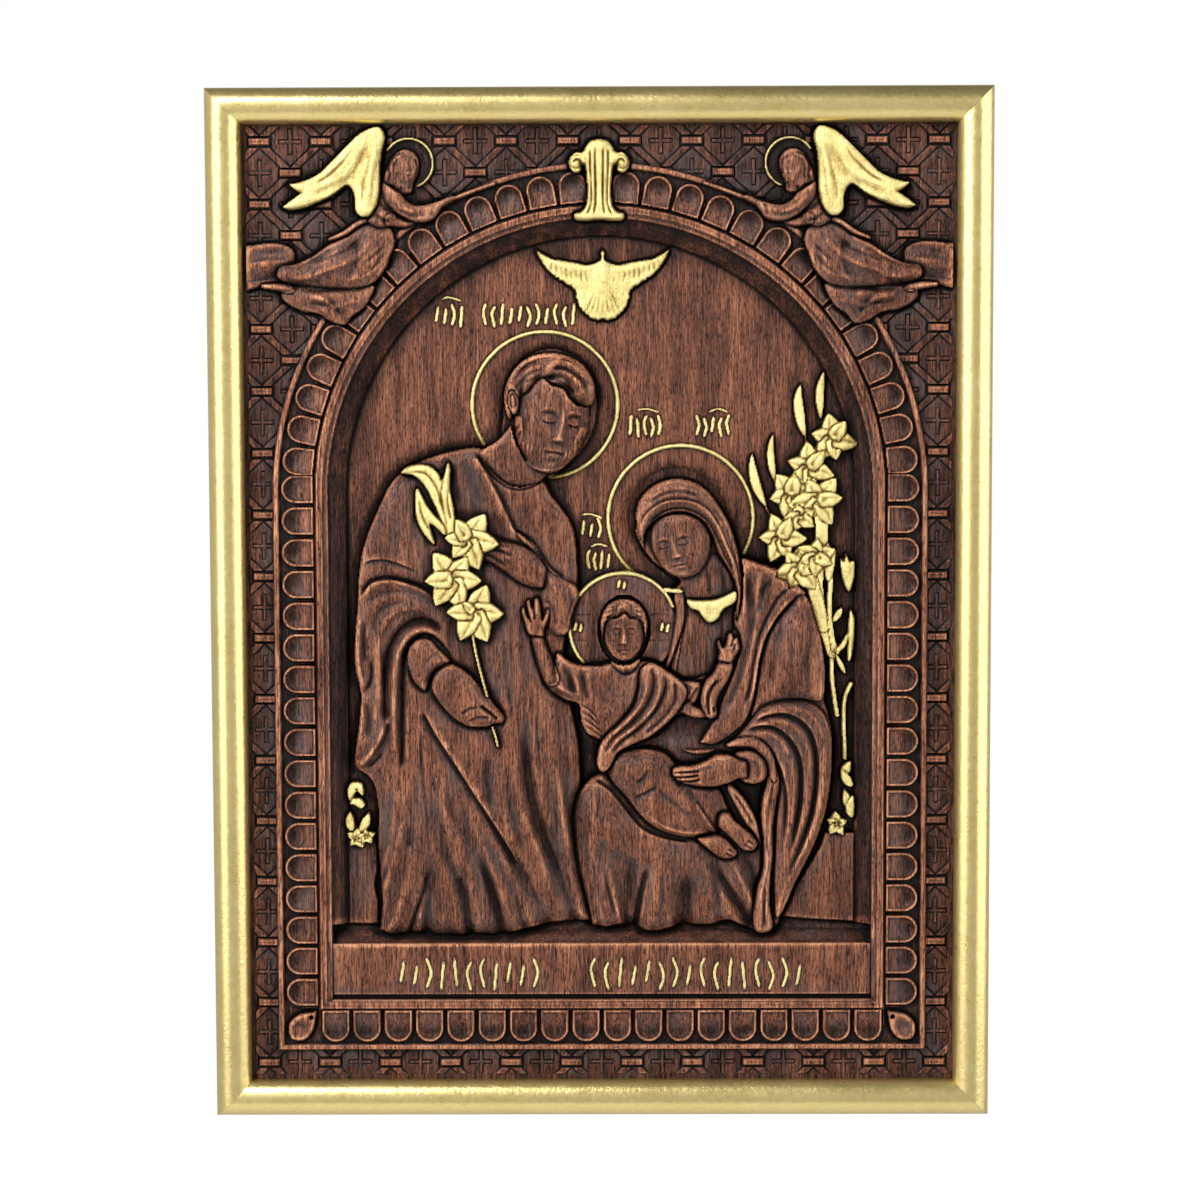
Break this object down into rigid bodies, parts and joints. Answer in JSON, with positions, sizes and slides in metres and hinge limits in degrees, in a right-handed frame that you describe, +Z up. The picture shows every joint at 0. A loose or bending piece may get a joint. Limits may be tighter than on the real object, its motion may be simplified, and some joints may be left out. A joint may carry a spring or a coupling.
{
  "type": "carved wall plaque",
  "caption": "Upright carved wooden relief of a family group under an arch, with gilded lilies and wings, in a gold half-round frame for hanging on a wall.",
  "frame": {"origin": "centre of the panel's flat back, on the wall plane", "axes": "+Y out of the back, towards the wall; +Z up, along the plaque's height; +X to the right seen from the front"},
  "size_m": [0.3, 0.0236, 0.396],
  "materials": {
    "stained_wood": "dark brown stained beech, semi-gloss, with gold paint on the lilies, dove, wings, halos and strokes",
    "gold_paint": "wood painted pale gold, satin, with dark worn specks"
  },
  "bodies": {
    "root": {"carved_panel": "stained_wood", "rail_top": "gold_paint", "rail_bottom": "gold_paint", "rail_left": "gold_paint", "rail_right": "gold_paint"}
  },
  "joints": []
}
